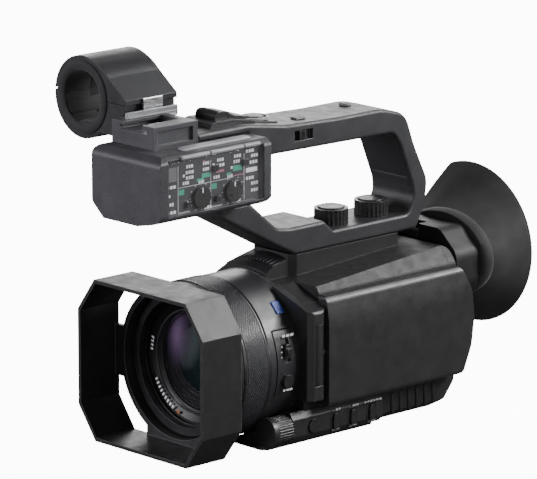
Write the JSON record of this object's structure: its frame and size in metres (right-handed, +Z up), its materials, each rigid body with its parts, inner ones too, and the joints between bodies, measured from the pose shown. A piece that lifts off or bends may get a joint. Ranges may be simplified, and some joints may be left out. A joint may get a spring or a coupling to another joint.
{
  "type": "camcorder",
  "caption": "Compact professional camcorder with square lens hood, fold-out monitor, eyecup viewfinder, top handle with audio box and microphone holder.",
  "frame": {"origin": "mouth of the tripod socket, in the middle of the base foot", "axes": "+Z up, -Y towards the subject along the lens axis, +X towards the monitor side"},
  "size_m": [0.1109, 0.233, 0.1857],
  "materials": {
    "body_plastic": "fine leathery moulded texture",
    "handle_plastic": "satin moulded, bright worn edges",
    "gloss_panel": "satin to gloss",
    "hood_plastic": "fine matt",
    "ring_metal": "diamond knurl, satin",
    "barrel_metal": "satin",
    "lens_black": "flat black",
    "lens_glass": "multi-coated, polished",
    "clear_plastic": "clear, polished",
    "screen_glass": "polished",
    "button_plastic": "satin",
    "red_button": "satin",
    "rubber": "matt",
    "strap_fabric": "padded nylon",
    "steel": "turned",
    "battery_plastic": "fine matt",
    "board": "solder resist"
  },
  "bodies": {
    "camera": {"left_body_shell": "body_plastic", "right_body_shell": "body_plastic", "top_cover": "body_plastic", "front_cover": "body_plastic", "rear_cover": "body_plastic", "base_plate": "body_plastic", "tripod_bush": "steel", "main_board": "board", "filter_ring": "lens_black", "name_ring": "lens_black", "front_lens": "lens_glass", "lens_block": "lens_black", "lens_barrel": "barrel_metal", "barrel_control_plate": "barrel_metal", "lcd_hinge_cover": "gloss_panel", "control_strip": "gloss_panel", "hand_strap": "strap_fabric", "strap_anchors": "button_plastic", "handle_frame": "handle_plastic", "handle_control_panel": "gloss_panel", "accessory_shoe": "handle_plastic", "audio_box": "body_plastic", "audio_control_panel": "body_plastic", "xlr_sockets": "steel", "mic_holder_base": "body_plastic"},
    "hood": {"lens_hood": "hood_plastic"},
    "focus": {"focus_ring": "ring_metal"},
    "focus_mode": {"focus_switch": "button_plastic"},
    "auto_focus": {"auto_focus_button": "button_plastic"},
    "monitor": {"lcd_hinge_arm": "gloss_panel", "lcd_panel_shell": "gloss_panel", "lcd_screen": "screen_glass"},
    "dial": {"manual_dial": "button_plastic"},
    "manual": {"manual_button": "button_plastic"},
    "button_1": {"side_button_1": "button_plastic"},
    "button_2": {"side_button_2": "button_plastic"},
    "button_3": {"side_button_3": "button_plastic"},
    "viewfinder_slide": {"viewfinder_carriage": "body_plastic"},
    "viewfinder": {"viewfinder_housing": "body_plastic", "eyepiece_lens": "lens_glass", "eyecup": "rubber"},
    "battery_pack": {"battery": "battery_plastic"},
    "battery_catch": {"battery_release": "button_plastic"},
    "record": {"record_button": "red_button"},
    "grip_zoom": {"grip_zoom_lever": "button_plastic"},
    "card_lid": {"card_door": "body_plastic"},
    "handle_zoom": {"handle_zoom_rocker": "button_plastic"},
    "handle_record": {"handle_record_button": "button_plastic"},
    "handle_hold": {"handle_hold_switch": "button_plastic"},
    "knob_front": {"thumb_knob_front": "button_plastic"},
    "knob_rear": {"thumb_knob_rear": "button_plastic"},
    "audio_lid": {"audio_cover": "clear_plastic"},
    "level_1": {"level_dial_1": "button_plastic"},
    "level_2": {"level_dial_2": "button_plastic"},
    "input_1": {"input_switch_1": "button_plastic"},
    "input_2": {"input_switch_2": "button_plastic"},
    "mode_1": {"level_switch_1": "button_plastic"},
    "mode_2": {"level_switch_2": "button_plastic"},
    "clamp": {"mic_clamp": "body_plastic"},
    "clamp_catch": {"mic_latch": "button_plastic"}
  },
  "joints": [
    {"name": "hood_pull", "type": "slide", "parent": "camera", "child": "hood", "axis": [0, -1, 0], "range_m": [0, 0.016]},
    {"name": "focus_turn", "type": "hinge", "parent": "camera", "child": "focus", "pos_m": [0, -0.044, 0.04], "axis": [0, -1, 0], "continuous": true},
    {"name": "focus_mode_slide", "type": "slide", "parent": "camera", "child": "focus_mode", "axis": [0, 0, 1], "range_m": [-0.0015, 0.0025]},
    {"name": "auto_focus_press", "type": "slide", "parent": "camera", "child": "auto_focus", "axis": [-1, 0, 0], "range_m": [0, 0.0005], "stiffness_N_per_m": 400, "springref_m": -0.0005},
    {"name": "monitor_open", "type": "hinge", "parent": "camera", "child": "monitor", "pos_m": [0.0418, -0.0105, 0.045], "axis": [0, 0, -1], "range_deg": [0, 90]},
    {"name": "dial_turn", "type": "hinge", "parent": "camera", "child": "dial", "pos_m": [0.0355, -0.028, 0.0092], "axis": [0, 1, 0], "continuous": true},
    {"name": "manual_press", "type": "slide", "parent": "camera", "child": "manual", "axis": [-1, 0, 0], "range_m": [0, 0.0006], "stiffness_N_per_m": 400, "springref_m": -0.0005},
    {"name": "button_1_press", "type": "slide", "parent": "camera", "child": "button_1", "axis": [-1, 0, 0], "range_m": [0, 0.0006], "stiffness_N_per_m": 400, "springref_m": -0.0005},
    {"name": "button_2_press", "type": "slide", "parent": "camera", "child": "button_2", "axis": [-1, 0, 0], "range_m": [0, 0.0006], "stiffness_N_per_m": 400, "springref_m": -0.0005},
    {"name": "button_3_press", "type": "slide", "parent": "camera", "child": "button_3", "axis": [-1, 0, 0], "range_m": [0, 0.0006], "stiffness_N_per_m": 400, "springref_m": -0.0005},
    {"name": "viewfinder_pull", "type": "slide", "parent": "camera", "child": "viewfinder_slide", "axis": [0, 1, 0], "range_m": [0, 0.012]},
    {"name": "viewfinder_tilt", "type": "hinge", "parent": "viewfinder_slide", "child": "viewfinder", "pos_m": [0.004, 0.0915, 0.081], "axis": [1, 0, 0], "range_deg": [0, 30]},
    {"name": "battery_slide", "type": "slide", "parent": "camera", "child": "battery_pack", "axis": [0, 0, -1], "range_m": [0, 0.006]},
    {"name": "battery_catch_slide", "type": "slide", "parent": "camera", "child": "battery_catch", "axis": [1, 0, 0], "range_m": [0, 0.003], "stiffness_N_per_m": 150, "springref_m": -0.001},
    {"name": "record_press", "type": "slide", "parent": "camera", "child": "record", "axis": [0, -1, 0], "range_m": [0, 0.0008], "stiffness_N_per_m": 500, "springref_m": -0.0005},
    {"name": "grip_zoom_turn", "type": "hinge", "parent": "camera", "child": "grip_zoom", "pos_m": [-0.041, 0.05, 0.066], "axis": [0, 0, 1], "range_deg": [-20, 20], "stiffness_Nm_per_rad": 0.02},
    {"name": "card_lid_open", "type": "hinge", "parent": "camera", "child": "card_lid", "pos_m": [-0.025, 0.0893, 0.022], "axis": [0, 0, -1], "range_deg": [0, 95]},
    {"name": "handle_zoom_rock", "type": "hinge", "parent": "camera", "child": "handle_zoom", "pos_m": [0, -0.0312, 0.1555], "axis": [1, 0, 0], "range_deg": [-3.5, 3.5], "stiffness_Nm_per_rad": 0.1},
    {"name": "handle_record_press", "type": "slide", "parent": "camera", "child": "handle_record", "axis": [0, 0, -1], "range_m": [0, 0.0008], "stiffness_N_per_m": 500, "springref_m": -0.0005},
    {"name": "handle_hold_slide", "type": "slide", "parent": "camera", "child": "handle_hold", "axis": [0, 1, 0], "range_m": [-0.002, 0.004]},
    {"name": "knob_front_turn", "type": "hinge", "parent": "camera", "child": "knob_front", "pos_m": [0.0015, 0.039, 0.098], "axis": [0, 0, 1], "continuous": true},
    {"name": "knob_rear_turn", "type": "hinge", "parent": "camera", "child": "knob_rear", "pos_m": [0.0015, 0.066, 0.098], "axis": [0, 0, 1], "continuous": true},
    {"name": "audio_lid_open", "type": "hinge", "parent": "camera", "child": "audio_lid", "pos_m": [0.0306, -0.063, 0.1472], "axis": [0, -1, 0], "range_deg": [0, 100]},
    {"name": "level_1_turn", "type": "hinge", "parent": "camera", "child": "level_1", "pos_m": [0.0287, -0.0706, 0.128], "axis": [1, 0, 0], "range_deg": [-135, 135]},
    {"name": "level_2_turn", "type": "hinge", "parent": "camera", "child": "level_2", "pos_m": [0.0287, -0.0504, 0.128], "axis": [1, 0, 0], "range_deg": [-135, 135]},
    {"name": "input_1_slide", "type": "slide", "parent": "camera", "child": "input_1", "axis": [0, 1, 0], "range_m": [-0.0025, 0.0025]},
    {"name": "input_2_slide", "type": "slide", "parent": "camera", "child": "input_2", "axis": [0, 1, 0], "range_m": [-0.0025, 0.0025]},
    {"name": "mode_1_slide", "type": "slide", "parent": "camera", "child": "mode_1", "axis": [0, 0, 1], "range_m": [-0.0015, 0.0015]},
    {"name": "mode_2_slide", "type": "slide", "parent": "camera", "child": "mode_2", "axis": [0, 0, 1], "range_m": [-0.0015, 0.0015]},
    {"name": "clamp_open", "type": "hinge", "parent": "camera", "child": "clamp", "pos_m": [-0.0624, -0.064, 0.1658], "axis": [0, -1, 0], "range_deg": [0, 95]},
    {"name": "clamp_catch_flip", "type": "hinge", "parent": "clamp", "child": "clamp_catch", "pos_m": [-0.0123, -0.064, 0.168], "axis": [0, -1, 0], "range_deg": [0, 60]}
  ]
}
